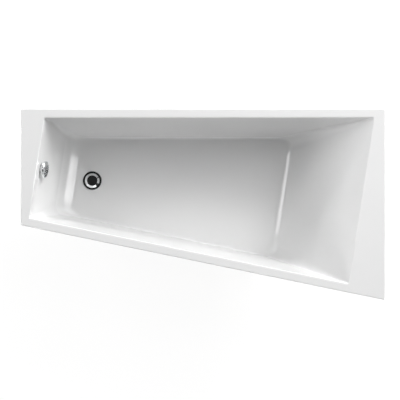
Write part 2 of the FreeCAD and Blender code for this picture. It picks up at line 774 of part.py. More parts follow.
def overflow_face():
    """Chrome face plate with water slots round its edge and a threaded neck through the wall."""
    neck_bore = FACE_NECK_R - FACE_NECK_WALL
    neck_end = CHAMBER_Z - FACE_NECK_GRIP
    plate = rod(FACE_R, FRONT_SEAL, FACE_Z).cut(rod(neck_bore, FRONT_SEAL - CUT, FACE_Z - FACE_LIP))
    neck = ring(FACE_NECK_R, neck_bore, neck_end, FRONT_SEAL + CUT)
    hub = rod(FACE_HUB_R, FRONT_SEAL, FACE_Z)
    face = fused([plate, neck, hub])
    slot_low = FRONT_SEAL + (FACE_THICKNESS - FACE_LIP - FACE_SLOT_HEIGHT) / 2
    slot_base = Vector(neck_bore - CUT, -FACE_SLOT / 2, slot_low)
    slot = Part.makeBox(FACE_R, FACE_SLOT, FACE_SLOT_HEIGHT, slot_base)
    for i in range(FACE_SLOT_COUNT):
        cutter = slot.copy()
        cutter.rotate(Vector(0, 0, 0), UP, (i + 0.5) * 360 / FACE_SLOT_COUNT)
        face = face.cut(cutter)
    return in_overflow(face.cut(rod(KNOB_SPINDLE_R + RUNNING_GAP, neck_end, FACE_Z + CUT)))


def overflow_seals():
    """Rubber rings on both faces of the end wall."""
    bore = FACE_NECK_R + RUNNING_GAP
    front = ring(OVERFLOW_SEAL_R, bore, 0, FRONT_SEAL)
    back = ring(OVERFLOW_SEAL_R, bore, CHAMBER_Z, CHAMBER_Z + BACK_SEAL)
    return in_overflow(front), in_overflow(back)


def overflow_body():
    """Chamber behind the end wall, with its outlet, the drum's room and the cable port."""
    outlet_top = OUTLET_TOP.z
    boss, port_bore = cable_port(DRUM_PORT + Vector(0, -DRUM_ROOM_R, 0), Vector(0, -1, 0))
    turned_parts = fused([
        rod(CHAMBER_R, PARTITION_Z - PARTITION, CHAMBER_Z),
        rod(CHAMBER_FLANGE_R, CHAMBER_Z - CHAMBER_FLANGE, CHAMBER_Z),
        rod(DRUM_ROOM_R + DRUM_WALL, DRUM_END_Z, DRUM_TOP_Z + CUT),
    ])
    outlet = rod(SOCKET_OUTER_R, OUTLET_END_Z, outlet_top)
    outlet.translate(Vector(OUTLET_TOP.x, 0, 0))
    body = fused([overflow_to_waste(turned_parts), outlet, boss])
    inner_r = CHAMBER_R - CHAMBER_WALL
    cutters = [
        overflow_to_waste(rod(inner_r, PARTITION_Z, CHAMBER_Z - FACE_NECK_GRIP)),
        overflow_to_waste(rod(FACE_NECK_R + SCREW_GAP, CHAMBER_Z - FACE_NECK_GRIP - CUT, CHAMBER_Z + CUT)),
        overflow_to_waste(rod(DRUM_ROOM_R, DRUM_END_Z - CUT, DRUM_TOP_Z)),
        overflow_to_waste(rod(KNOB_SPINDLE_R + RUNNING_GAP, DRUM_END_Z, PARTITION_Z + CUT)),
        port_bore,
    ]
    waterway = rod(PIPE_R - PIPE_WALL, OUTLET_END_Z - CUT, outlet_top)
    socket = rod(SOCKET_R, OUTLET_END_Z - CUT, PIPE_TOP_Z)
    for cutter in (waterway, socket):
        cutter.translate(Vector(OUTLET_TOP.x, 0, 0))
        cutters.append(cutter)
    for cutter in cutters:
        body = body.cut(cutter)
    return in_waste(body)


def drum_cover():
    """Cap over the drum's room."""
    cap = rod(DRUM_ROOM_R + DRUM_WALL, DRUM_END_Z - COVER, DRUM_END_Z)
    return in_overflow(cap)


def pipe_path():
    """Middle line of the overflow pipe: down behind the end wall, then under the basin to the waste."""
    x = OUTLET_TOP.x
    bend_top = Vector(x, 0, INLET_Z + PIPE_BEND)
    bend_end = Vector(x + PIPE_BEND, 0, INLET_Z)
    inset = PIPE_BEND * (1 - math.cos(math.pi / 4))
    middle = Vector(x + inset, 0, INLET_Z + inset)
    return Part.Wire([
        Part.LineSegment(Vector(x, 0, PIPE_TOP_Z), bend_top).toShape(),
        Part.Arc(bend_top, middle, bend_end).toShape(),
        Part.LineSegment(bend_end, Vector(PIPE_END_X, 0, INLET_Z)).toShape(),
    ])


def tube(path, radius):
    """Round bar along a path of lines and tangent arcs."""
    start = path.Edges[0].Vertexes[0].Point
    profile = Part.Wire(Part.makeCircle(radius, start, path.Edges[0].tangentAt(path.Edges[0].FirstParameter)))
    return path.makePipeShell([profile], True, False)


def overflow_pipe():
    """Smooth pipe from the overflow's outlet to the waste's inlet."""
    path = pipe_path()
    return in_waste(tube(path, PIPE_R).cut(tube(path, PIPE_R - PIPE_WALL)))


def lugged(radius, low, high):
    """Round nut blank with grip ribs along its side."""
    blank = [rod(radius - NUT_LUG_DEPTH, low, high)]
    for i in range(NUT_LUGS):
        lug_base = Vector(radius - 2 * NUT_LUG_DEPTH, -NUT_LUG_WIDTH / 2, low)
        lug = Part.makeBox(2 * NUT_LUG_DEPTH, NUT_LUG_WIDTH, high - low, lug_base)
        lug.rotate(Vector(0, 0, 0), UP, i * 360 / NUT_LUGS)
        blank.append(lug)
    return fused(blank)


def pipe_joint(base, direction):
    """Compression nut and seal at the mouth of a pipe socket that opens in a direction."""
    seal = ring(SOCKET_OUTER_R, SOCKET_R, 0, PIPE_SEAL)
    low = PIPE_SEAL + PIPE_NUT_LIP - PIPE_NUT_LENGTH
    nut = lugged(PIPE_NUT_R, low, PIPE_SEAL + PIPE_NUT_LIP)
    nut = nut.cut(rod(SOCKET_OUTER_R + RUNNING_GAP, low - CUT, PIPE_SEAL))
    nut = nut.cut(rod(SOCKET_R, 0, PIPE_SEAL + PIPE_NUT_LIP + CUT))
    return in_waste(along(nut, base, direction)), in_waste(along(seal, base, direction))


def cable_points():
    """Corners of the control cable's route, from the drum's port to the waste's port."""
    start_y = DRUM_PORT.y - DRUM_ROOM_R
    end_y = -POT_R
    side_y = min(start_y, end_y) - PORT_LENGTH - FERRULE_LENGTH - CABLE_BEND
    return [
        Vector(DRUM_PORT.x, start_y, DRUM_PORT.z),
        Vector(DRUM_PORT.x, side_y, DRUM_PORT.z),
        Vector(DRUM_PORT.x, side_y, PORT_Z),
        Vector(0, side_y, PORT_Z),
        Vector(0, end_y, PORT_Z),
    ]


def rounded_path(points, radius):
    """Path of straight runs joined by tangent arcs of one radius, with square corners in the route."""
    edges = []
    start = points[0]
    for before, corner, after in zip(points, points[1:], points[2:]):
        back = (before - corner).normalize()
        ahead = (after - corner).normalize()
        first = corner + back * radius
        last = corner + ahead * radius
        centre = first + ahead * radius
        middle = centre - (back + ahead).normalize() * radius
        edges.append(Part.LineSegment(start, first).toShape())
        edges.append(Part.Arc(first, middle, last).toShape())
        start = last
    edges.append(Part.LineSegment(start, points[-1]).toShape())
    return Part.Wire(edges)


def control_cable():
    """Sheathed cable between the two ports."""
    points = cable_points()
    return in_waste(tube(rounded_path(points, CABLE_BEND), CABLE_R))


def cable_ferrules():
    """Sleeves that hold the cable's ends in the ports."""
    points = cable_points()
    ferrules = []
    for end, nxt in ((points[0], points[1]), (points[-1], points[-2])):
        sleeve = ring(FERRULE_R, CABLE_R + SCREW_GAP, 0, PORT_LENGTH + FERRULE_LENGTH)
        ferrules.append(in_waste(along(sleeve, end, nxt - end)))
    return Part.makeCompound(ferrules)


def trap_washer():
    """Flat washer between the waste's tail and the trap."""
    return in_waste(ring(TAIL_R, TAIL_R - TAIL_WALL, TAIL_Z - WASHER, TAIL_Z))


def trap_nut():
    """Ribbed nut that holds the trap to the waste's tail."""
    collar_low = TAIL_Z - WASHER - TRAP_COLLAR
    low = collar_low - TRAP_NUT_LIP
    high = TAIL_Z + TAIL_LENGTH - POT_WALL
    nut = lugged(TRAP_NUT_R, low, high).cut(rod(TAIL_R + RUNNING_GAP, collar_low, high + CUT))
    return in_waste(nut.cut(rod(TRAP_TUBE_R + RUNNING_GAP, low - CUT, collar_low + CUT)))


def trap_body():
    """Low trap: collared inlet tube that dips into a bowl, and a level outlet spigot."""
    tube_top = TAIL_Z - WASHER
    bowl_top = tube_top - TRAP_COLLAR - TRAP_NUT_LIP - BOWL_DROP
    bowl_low = bowl_top - BOWL_HEIGHT
    outlet_z = bowl_top - BOWL_HEIGHT / 2
    way = WASTE_FRAME.Rotation.inverted().multVec(Vector(-1, 0, 0))
    base = Vector(0, 0, outlet_z)
    bowl = rod(BOWL_R, bowl_low, bowl_top)
    bowl = bowl.makeFillet(BOWL_ROUND, [e for e in bowl.Edges if len(e.Vertexes) == 1])
    hollow = rod(BOWL_R - BOWL_WALL, bowl_low + BOWL_WALL, bowl_top - BOWL_WALL)
    collar_end = BOWL_R + OUTLET_COLLAR
    collar = along(rod(OUTLET_R + OUTLET_COLLAR_RISE, 0, collar_end), base, way)
    spigot = along(rod(OUTLET_R, 0, collar_end + OUTLET_LENGTH), base, way)
    bore = along(rod(OUTLET_R - OUTLET_WALL, 0, collar_end + OUTLET_LENGTH + CUT), base, way)
    dip = rod(TRAP_TUBE_R, bowl_top - TRAP_DIP, tube_top).fuse(rod(TAIL_R, tube_top - TRAP_COLLAR, tube_top))
    body = fused([bowl, collar, spigot]).cut(hollow).cut(bore)
    body = fused([body, dip])
    return in_waste(body.cut(rod(TRAP_TUBE_R - TRAP_TUBE_WALL, bowl_top - TRAP_DIP - CUT, tube_top + CUT)))


def build():
    """Every node of the bathtub by name."""
    corners = outer_corners()
    nodes = {
        "tub_shell": tub_shell(),
        "glassfibre_backing": glassfibre_backing(),
        "base_board": base_board(),
        "rail_screws": rail_screws(),
        "foot_top_nuts": foot_nuts(RAIL_TOP),
        "foot_lock_nuts": foot_nuts(RAIL_TOP - RAIL_SHEET - NUT_HEIGHT),
        "waste_flange": waste_flange(),
        "plug_guide": plug_guide(),
        "waste_body": waste_body(),
        "lift_lever": lift_lever(),
        "lever_pin": lever_pin(),
        "plug_cap": plug_cap(),
        "plug_seal": plug_seal(),
        "plug_stem": plug_stem(),
        "overflow_knob": overflow_knob(),
        "overflow_spindle": overflow_spindle(),
        "overflow_face": overflow_face(),
        "overflow_body": overflow_body(),
        "drum_cover": drum_cover(),
        "overflow_pipe": overflow_pipe(),
        "control_cable": control_cable(),
        "cable_ferrules": cable_ferrules(),
        "trap_washer": trap_washer(),
        "trap_nut": trap_nut(),
        "trap_body": trap_body(),
    }
    for i, side in enumerate(("front", "backrest_end", "back", "drain_end")):
        nodes["rim_batten_" + side] = rim_batten(corners[i], corners[(i + 1) % 4])
    for end, x in zip(("drain", "backrest"), rail_places()):
        nodes["support_rail_" + end] = support_rail(x)
    for name, place in foot_places():
        nodes["foot_spindle_" + name] = foot_spindle(place)
        nodes["foot_pad_" + name] = foot_pad(place)
    nodes["waste_top_seal"], nodes["waste_bottom_seal"] = waste_seals()
    nodes["overflow_front_seal"], nodes["overflow_back_seal"] = overflow_seals()
    outlet_mouth = Vector(OUTLET_TOP.x, 0, OUTLET_END_Z)
    inlet_mouth = Vector(INLET_END_X, 0, INLET_Z)
    nodes["pipe_nut_upper"], nodes["pipe_seal_upper"] = pipe_joint(outlet_mouth, Vector(0, 0, -1))
    nodes["pipe_nut_lower"], nodes["pipe_seal_lower"] = pipe_joint(inlet_mouth, Vector(-1, 0, 0))
    return nodes


def main():
    os.makedirs("parts", exist_ok=True)
    for name, shape in build().items():
        shape.exportStep("parts/" + name + ".step")
        print(name, len(shape.Solids), round(shape.Volume / 1000, 1), "cm3", shape.isValid())


main()
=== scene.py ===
import math

import bpy
from mathutils import Matrix, Vector


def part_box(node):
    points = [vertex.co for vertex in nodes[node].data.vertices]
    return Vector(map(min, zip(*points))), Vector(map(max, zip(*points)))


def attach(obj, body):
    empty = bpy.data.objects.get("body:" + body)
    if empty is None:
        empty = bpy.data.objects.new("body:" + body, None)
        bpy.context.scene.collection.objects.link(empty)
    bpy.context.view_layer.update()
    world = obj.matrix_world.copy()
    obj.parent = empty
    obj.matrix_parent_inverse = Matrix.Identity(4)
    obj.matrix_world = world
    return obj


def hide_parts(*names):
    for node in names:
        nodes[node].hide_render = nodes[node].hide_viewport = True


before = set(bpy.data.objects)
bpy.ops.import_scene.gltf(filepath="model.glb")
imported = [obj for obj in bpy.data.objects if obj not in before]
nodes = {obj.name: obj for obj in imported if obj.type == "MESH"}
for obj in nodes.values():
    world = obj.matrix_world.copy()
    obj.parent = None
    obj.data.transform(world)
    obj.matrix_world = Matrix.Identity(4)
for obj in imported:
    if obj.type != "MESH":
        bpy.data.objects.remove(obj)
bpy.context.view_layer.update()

# Sizes of the tub in metres, the same as the solid's
LENGTH = 1.700
WIDTH = 0.892
NARROW_END = 0.542
RIM_Z = 0.595
DEPTH = 0.425
BACK_RIM = 0.040
FRONT_RIM = 0.040
DRAIN_END_RIM = 0.037
BACKREST_END_RIM = 0.048
END_SKEW = math.radians(8.75)
LIP = 0.040
SHEET = 0.005
LAYER_GAP = 0.0003
BACKING = 0.004
BACKING_TOP = 0.048
OUTER_CORNER = 0.008
OUTER_ROUND = 0.003
MOUTH_ROUND = 0.005
LIP_ROUND = 0.0008
LEANS = [math.radians(a) for a in (9.2, 40.8, 9.2, 16.7)]
FILLETS = [0.015, 0.050, 0.015, 0.097]
OPENING_CORNER = 0.008
FLOOR_CORNER = 0.057
DRAIN_HOLE_R = 0.026
DRAIN_INSET = 0.260
DRAIN_ALONG_END = 0.236
OVERFLOW_DEPTH = 0.080
OVERFLOW_HOLE_R = 0.023

# How finely the tub's mesh follows its rounds: steps, least spacing, and supporting rows beside the rounds
ARC = 14
FILLET_STEPS = 28
MOUTH_STEPS = 8
OUTER_STEPS = 6
LIP_CHAMFER = 0.3
LEAST_STEP = 0.0001
SUPPORT = 0.004
RIM_SUPPORT = 0.002
HOLE_SIDES = 96
CUTTER_LENGTH = 0.060
SHARP_ANGLE = 38

# Thread of the foot spindles, and where its profile turns, in shares of the pitch
THREAD_PITCH = 0.00175
THREAD_DEPTH = 0.0009
THREAD_PROFILE = (0.0, 0.22, 0.5, 0.72)
THREAD_SIDES = 24
THREAD_SHARP_ANGLE = 25
TIP_INSET = 0.0004
TIP_TAPER = 0.8

# The picture: the camera's lean from straight down, metres to a pixel, and pixels at the tub's middle
TILT = math.radians(2.9)
SCALE = 0.004672
MIDDLE_PX = (202.85, 204.5)
PICTURE_PX = 400
SENSOR = 36.0
CAMERA_REACH = 75.0

# The studio: how far off the lamps stand, the height they turn to, and the floor
LAMP_REACH = 12.0
LAMP_AIM_Z = 0.4
STRIP_PANELS = 5
FLOOR_SIZE = 60.0
FOOT_TRAVEL = 0.030

AIM = Vector(((PICTURE_PX / 2 - MIDDLE_PX[0]) * SCALE, (MIDDLE_PX[1] - PICTURE_PX / 2) * SCALE, RIM_Z))
EYE = AIM + Vector((0, -math.sin(TILT), math.cos(TILT))) * CAMERA_REACH


def outer_corners():
    """Corners of the rim, anticlockwise from the front corner of the narrow end."""
    back = WIDTH / 2
    return [
        Vector((-LENGTH / 2, back - NARROW_END)),
        Vector((LENGTH / 2, -back)),
        Vector((LENGTH / 2, back)),
        Vector((-LENGTH / 2, back)),
    ]


def opening_corners():
    """Corners of the basin's mouth, anticlockwise from the front corner of the drain end."""
    back = WIDTH / 2 - BACK_RIM
    slope = (WIDTH - NARROW_END) / LENGTH
    skew = math.tan(END_SKEW)
    front_middle = outer_corners()[0].y - slope * LENGTH / 2 + FRONT_RIM * math.hypot(1, slope)
    left = -LENGTH / 2 + DRAIN_END_RIM
    right = LENGTH / 2 - BACKREST_END_RIM
    front_right_x = (right - skew * (back - front_middle)) / (1 + skew * slope)
    front_left_y = front_middle - slope * left
    return [
        Vector((left, front_left_y)),
        Vector((front_right_x, front_middle - slope * front_right_x)),
        Vector((right, back)),
        Vector((left + skew * (back - front_left_y), back)),
    ]


OPENING = opening_corners()


def wall_inset(side, depth, outset):
    """How far a wall stands in from the mouth's edge at a depth, for a skin outset from the basin."""
    lean, radius = LEANS[side], FILLETS[side]
    centre_depth = DEPTH - radius
    centre_inset = centre_depth * math.tan(lean) + radius / math.cos(lean)
    skin = radius + outset
    if depth > centre_depth + skin * math.sin(lean):
        drop = min(depth - centre_depth, skin)
        return centre_inset - math.sqrt(skin * skin - drop * drop)
    if outset == 0 and depth < MOUTH_ROUND * (1 - math.sin(lean)):
        middle = MOUTH_ROUND * (math.tan(lean) - 1 / math.cos(lean))
        height = MOUTH_ROUND - depth
        return middle + math.sqrt(max(MOUTH_ROUND * MOUTH_ROUND - height * height, 0))
    return depth * math.tan(lean) - outset / math.cos(lean)


def inset_outline(corners, insets):
    """Outline with each side moved in by its own inset."""
    lines = []
    for i in range(4):
        heading = (corners[(i + 1) % 4] - corners[i]).normalized()
        lines.append((corners[i] + Vector((-heading.y, heading.x)) * insets[i], heading))
    out = []
    for i in range(4):
        (p, u), (q, v) = lines[i - 1], lines[i]
        out.append(p + u * ((q - p).cross(v) / u.cross(v)))
    return out


def rounded(corners, radius, z):
    """Ring of points round an anticlockwise outline with rounded corners, at a height."""
    ring = []
    for i, corner in enumerate(corners):
        back = (corners[i - 1] - corner).normalized()
        ahead = (corners[(i + 1) % 4] - corner).normalized()
        half = back.angle(ahead) / 2
        centre = corner + (back + ahead).normalized() * (radius / math.sin(half))
        reach = radius / math.tan(half)
        start = corner + back * reach - centre
        places = [corner + back * (reach + SUPPORT)]
        for k in range(ARC + 1):
            places.append(centre + Matrix.Rotation((math.pi - 2 * half) * k / ARC, 2) @ start)
        places.append(corner + ahead * (reach + SUPPORT))
        ring += [(place.x, place.y, z) for place in places]
    return ring


def basin_ring(depth, outset, more=0):
    """Section of the basin, or of a skin outset from it, at a depth below the rim."""
    insets = [wall_inset(side, depth, outset) + more for side in range(4)]
    share = min(max(depth / DEPTH, 0), 1)
    radius = OPENING_CORNER + (FLOOR_CORNER - OPENING_CORNER) * share + outset - more
    return rounded(inset_outline(OPENING, insets), radius, RIM_Z - depth)


def basin_depths(top, outset):
    """Depths, from the top down, of sections that follow the mouth's round and the floor fillets."""
    depths = {top, DEPTH + outset}
    if outset == 0:
        turns = [math.pi / 2 * k / MOUTH_STEPS for k in range(MOUTH_STEPS + 1)]
        depths |= {MOUTH_ROUND * (1 - math.cos(turn)) for turn in turns}
        depths.add(MOUTH_ROUND + SUPPORT)
    for lean, radius in zip(LEANS, FILLETS):
        for k in range(FILLET_STEPS):
            angle = lean + (math.pi / 2 - lean) * k / FILLET_STEPS
            depths.add(DEPTH - radius + (radius + outset) * math.sin(angle))
        depths.add(DEPTH - radius + (radius + outset) * math.sin(lean) - SUPPORT)
    kept = []
    for depth in sorted(depths):
        if depth >= top and (not kept or depth - kept[-1] > LEAST_STEP):
            kept.append(depth)
    kept[-1] = DEPTH + outset
    return kept


def ring_mesh(name, rings):
    """Closed mesh through rings of equal count, with a flat cap on the first and the last."""
    count = len(rings[0])
    points = [p for ring in rings for p in ring]
    faces = [tuple(range(count))]
    for k in range(len(rings) - 1):
        low, high = k * count, (k + 1) * count
        for i in range(count):
            j = (i + 1) % count
            faces.append((low + i, high + i, high + j, low + j))
    last = (len(rings) - 1) * count
    faces.append(tuple(last + i for i in reversed(range(count))))
    mesh = bpy.data.meshes.new(name)
    mesh.from_pydata(points, [], faces)
    mesh.validate()
    obj = bpy.data.objects.new(name, mesh)
    bpy.context.scene.collection.objects.link(obj)
    return obj


def round_cutter(radius, length, place, axis):
    """Round bar centred on a place, used to cut a hole and then removed."""
    bpy.ops.mesh.primitive_cylinder_add(vertices=HOLE_SIDES, radius=radius, depth=length)
    bar = bpy.context.object
    bar.matrix_world = Matrix.Translation(place) @ axis.to_track_quat("Z", "Y").to_matrix().to_4x4()
    return bar


def cut_holes(obj, cutters):
    """The object's mesh with each cutter taken out of it."""
    for bar in cutters:
        step = obj.modifiers.new("hole", "BOOLEAN")
        step.object = bar
        step.operation = "DIFFERENCE"
        step.solver = "EXACT"
    bpy.context.view_layer.update()
    cut = bpy.data.meshes.new_from_object(obj.evaluated_get(bpy.context.evaluated_depsgraph_get()))
    obj.modifiers.clear()
    obj.data = cut


def soften(obj, angle=SHARP_ANGLE):
    """Smooth shading that stays crisp on sharp edges."""
    mesh = obj.data
    mesh.polygons.foreach_set("use_smooth", [True] * len(mesh.polygons))
    mesh.set_sharp_from_angle(angle=math.radians(angle))


# The drain and overflow holes
end_along = (OPENING[0] - OPENING[3]).normalized()
end_inward = Vector((-end_along.y, end_along.x))
drain_xy = OPENING[3] + end_along * DRAIN_ALONG_END + end_inward * DRAIN_INSET
drain_point = Vector((drain_xy.x, drain_xy.y, RIM_Z - DEPTH))
lean = LEANS[3]
overflow_xy = drain_xy - end_inward * (DRAIN_INSET - OVERFLOW_DEPTH * math.tan(lean))
overflow_point = Vector((overflow_xy.x, overflow_xy.y, RIM_Z - OVERFLOW_DEPTH))
overflow_axis = Vector((end_inward.x * math.cos(lean), end_inward.y * math.cos(lean), math.sin(lean)))
holes = [
    round_cutter(DRAIN_HOLE_R, CUTTER_LENGTH, drain_point, Vector((0, 0, 1))),
    round_cutter(OVERFLOW_HOLE_R, CUTTER_LENGTH, overflow_point, overflow_axis),
]

# Acrylic shell: basin, mouth round, flat rim, rounded outer edge, lip, underside
shell_rings = [basin_ring(DEPTH, 0, SUPPORT)]
shell_rings += [basin_ring(d, 0) for d in reversed(basin_depths(0, 0))]
shell_rings.append(basin_ring(0, 0, -RIM_SUPPORT))
outer = outer_corners()
rim_edge = OUTER_ROUND + RIM_SUPPORT
shell_rings.append(rounded(inset_outline(outer, [rim_edge] * 4), OUTER_CORNER - rim_edge, RIM_Z))
for k in range(OUTER_STEPS + 1):
    turn = math.pi / 2 * k / OUTER_STEPS
    inset = OUTER_ROUND * (1 - math.sin(turn))
    z = RIM_Z - OUTER_ROUND * (1 - math.cos(turn))
    shell_rings.append(rounded(inset_outline(outer, [inset] * 4), OUTER_CORNER - inset, z))
lip_chamfer = LIP_ROUND * LIP_CHAMFER
lip_edge = [
    (0, LIP_ROUND), (lip_chamfer, lip_chamfer), (LIP_ROUND, 0),
    (SHEET - LIP_ROUND, 0), (SHEET - lip_chamfer, lip_chamfer), (SHEET, LIP_ROUND),
]
for inset, up in lip_edge:
    shell_rings.append(rounded(inset_outline(outer, [inset] * 4), OUTER_CORNER - inset, RIM_Z - LIP + up))
shell_rings.append(rounded(inset_outline(outer, [SHEET] * 4), OUTER_CORNER - SHEET, RIM_Z - SHEET))
shell_rings += [basin_ring(d, SHEET) for d in basin_depths(SHEET, SHEET)]
shell_rings.append(basin_ring(DEPTH + SHEET, SHEET, SUPPORT))
shell = ring_mesh("shell_moulding", shell_rings)
cut_holes(shell, holes)
soften(shell)
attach(shell, "tub")
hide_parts("tub_shell")

# Glassfibre sprayed on the outside of the basin
near, far = SHEET + LAYER_GAP, SHEET + LAYER_GAP + BACKING
backing_rings = [basin_ring(DEPTH + near, near, SUPPORT)]
backing_rings += [basin_ring(d, near) for d in reversed(basin_depths(BACKING_TOP, near))]
backing_rings += [basin_ring(d, far) for d in basin_depths(BACKING_TOP, far)]
backing_rings.append(basin_ring(DEPTH + far, far, SUPPORT))
backing = ring_mesh("sprayed_backing", backing_rings)
cut_holes(backing, holes)
soften(backing)
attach(backing, "tub")
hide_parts("glassfibre_backing")
for bar in holes:
    bpy.data.objects.remove(bar)


def threaded_bar(name, node, body):
    """Bar with a helical thread, in place of a plain spindle."""
    low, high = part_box(node)
    crest = (high.x - low.x) / 2
    core = crest - THREAD_DEPTH
    middle = (low + high) / 2
    radii = [core, core, crest, crest]
    rows = len(radii)
    steps = int((high.z - low.z) / THREAD_PITCH * THREAD_SIDES) + 2 * THREAD_SIDES

    def place(step, radius, z):
        turn = 2 * math.pi * step / THREAD_SIDES
        return middle.x + radius * math.cos(turn), middle.y + radius * math.sin(turn), z

    points = []
    for k in range(steps):
        for radius, height in zip(radii, THREAD_PROFILE):
            z = low.z + THREAD_PITCH * (k / THREAD_SIDES + height - 1)
            z = min(max(z, low.z), high.z)
            points.append(place(k, min(radius, core - TIP_INSET + (high.z - z) * TIP_TAPER), z))
    faces = []
    for k in range(steps - THREAD_SIDES - 1):
        for row in range(rows):
            here = rows * k + row
            above = rows * (k + THREAD_SIDES) if row == rows - 1 else here + 1
            faces.append((here, here + rows, above + rows, above))
    for z, radius in ((low.z, core), (high.z, core - TIP_INSET)):
        base = len(points)
        points += [place(k, radius, z) for k in range(THREAD_SIDES)]
        faces.append(tuple(range(base, base + THREAD_SIDES)))
    mesh = bpy.data.meshes.new(name)
    mesh.from_pydata(points, [], faces)
    mesh.validate()
    bar = bpy.data.objects.new(name, mesh)
    bpy.context.scene.collection.objects.link(bar)
    soften(bar, THREAD_SHARP_ANGLE)
    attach(bar, body)
    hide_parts(node)
    return bar


FEET = ("drain_front", "drain_back", "backrest_front", "backrest_back")
spindles = [threaded_bar("thread_" + f, "foot_spindle_" + f, "foot_" + f) for f in FEET]


def shader(name):
    """Empty node material with a principled shader, and its node tree."""
    mat = bpy.data.materials.new(name)
    mat.use_nodes = True
    tree = mat.node_tree
    return mat, tree, tree.nodes["Principled BSDF"]


def texture(tree, kind, scale, stretch=(1, 1, 1), detail=3.0):
    """Procedural texture on the object's own coordinates."""
    place = tree.nodes.new("ShaderNodeTexCoord")
    mapping = tree.nodes.new("ShaderNodeMapping")
    mapping.inputs["Scale"].default_value = stretch
    tree.links.new(place.outputs["Object"], mapping.inputs["Vector"])
    node = tree.nodes.new(kind)
    node.inputs["Scale"].default_value = scale
    if "Detail" in node.inputs:
        node.inputs["Detail"].default_value = detail
    tree.links.new(mapping.outputs["Vector"], node.inputs["Vector"])
    return node


def ramp(tree, source, stops):
    """Colours spread over a texture's value."""
    node = tree.nodes.new("ShaderNodeValToRGB")
    node.color_ramp.elements[0].position = stops[0][0]
    node.color_ramp.elements[0].color = (*stops[0][1], 1)
    node.color_ramp.elements[1].position = stops[-1][0]
    node.color_ramp.elements[1].color = (*stops[-1][1], 1)
    for at, colour in stops[1:-1]:
        node.color_ramp.elements.new(at).color = (*colour, 1)
    tree.links.new(source, node.inputs["Fac"])
    return node.outputs["Color"]


def spread(tree, source, low, high):
    """A texture's value spread between two numbers."""
    node = tree.nodes.new("ShaderNodeMapRange")
    node.inputs["From Min"].default_value = 0.3
    node.inputs["From Max"].default_value = 0.7
    node.inputs["To Min"].default_value = low
    node.inputs["To Max"].default_value = high
    tree.links.new(source, node.inputs["Value"])
    return node.outputs["Result"]


def bump(tree, source, bsdf, strength, distance):
    """Fine relief from a texture."""
    node = tree.nodes.new("ShaderNodeBump")
    node.inputs["Strength"].default_value = strength
    node.inputs["Distance"].default_value = distance
    tree.links.new(source, node.inputs["Height"])
    tree.links.new(node.outputs["Normal"], bsdf.inputs["Normal"])


def finish_of(name, dark, pale, rough, scale, metallic=0.0, relief=None, stretch=(1, 1, 1), detail=3.0):
    """Finish whose colour and gloss vary a little over the surface."""
    mat, tree, bsdf = shader(name)
    noise = texture(tree, "ShaderNodeTexNoise", scale, stretch, detail)
    tree.links.new(ramp(tree, noise.outputs["Fac"], [(0.3, dark), (0.7, pale)]), bsdf.inputs["Base Color"])
    tree.links.new(spread(tree, noise.outputs["Fac"], *rough), bsdf.inputs["Roughness"])
    bsdf.inputs["Metallic"].default_value = metallic
    if relief:
        fine = texture(tree, "ShaderNodeTexNoise", relief[0], stretch, 4.0)
        bump(tree, fine.outputs["Fac"], bsdf, relief[1], relief[2])
    return mat


def acrylic_finish():
    """Gloss white sanitary acrylic."""
    mat = finish_of("acrylic", (0.834, 0.835, 0.835), (0.846, 0.846, 0.846), (0.012, 0.022), 5.0)
    bsdf = mat.node_tree.nodes["Principled BSDF"]
    bsdf.inputs["IOR"].default_value = 1.49
    return mat


def glassfibre_finish():
    """Sprayed resin with chopped strands lying in all directions."""
    mat, tree, bsdf = shader("glassfibre")
    cloud = texture(tree, "ShaderNodeTexNoise", 14.0, (1, 1, 1), 5.0)
    stops = [(0.3, (0.66, 0.65, 0.55)), (0.55, (0.78, 0.77, 0.69)), (0.75, (0.84, 0.84, 0.79))]
    tone = ramp(tree, cloud.outputs["Fac"], stops)
    strands = None
    for turn in range(3):
        node = texture(tree, "ShaderNodeTexNoise", 95.0, (1, 1, 1), 2.0)
        mapping = node.inputs["Vector"].links[0].from_node
        mapping.inputs["Rotation"].default_value = (0.4 * turn, 0.7 * turn, 1.05 * turn)
        mapping.inputs["Scale"].default_value = (0.16, 2.2, 2.2)
        edge = ramp(tree, node.outputs["Fac"], [(0.57, (0, 0, 0)), (0.63, (1, 1, 1))])
        if strands is None:
            strands = edge
            continue
        both = tree.nodes.new("ShaderNodeMix")
        both.data_type = "RGBA"
        both.blend_type = "LIGHTEN"
        both.inputs["Factor"].default_value = 1.0
        tree.links.new(strands, both.inputs["A"])
        tree.links.new(edge, both.inputs["B"])
        strands = both.outputs["Result"]
    blend = tree.nodes.new("ShaderNodeMix")
    blend.data_type = "RGBA"
    tree.links.new(strands, blend.inputs["Factor"])
    tree.links.new(tone, blend.inputs["A"])
    blend.inputs["B"].default_value = (0.90, 0.90, 0.87, 1)
    tree.links.new(blend.outputs["Result"], bsdf.inputs["Base Color"])
    tree.links.new(spread(tree, cloud.outputs["Fac"], 0.38, 0.62), bsdf.inputs["Roughness"])
    bump(tree, strands, bsdf, 0.55, 0.0012)
    return mat


def board_finish():
    """Raw particle board with pressed chips."""
    mat, tree, bsdf = shader("board")
    chips = texture(tree, "ShaderNodeTexVoronoi", 210.0, (1, 1, 1.6))
    grey = tree.nodes.new("ShaderNodeSeparateColor")
    tree.links.new(chips.outputs["Color"], grey.inputs["Color"])
    stops = [(0.0, (0.42, 0.29, 0.17)), (0.45, (0.60, 0.46, 0.30)), (1.0, (0.74, 0.62, 0.45))]
    tree.links.new(ramp(tree, grey.outputs["Red"], stops), bsdf.inputs["Base Color"])
    tree.links.new(spread(tree, grey.outputs["Green"], 0.65, 0.85), bsdf.inputs["Roughness"])
    bump(tree, grey.outputs["Blue"], bsdf, 0.3, 0.0004)
    return mat


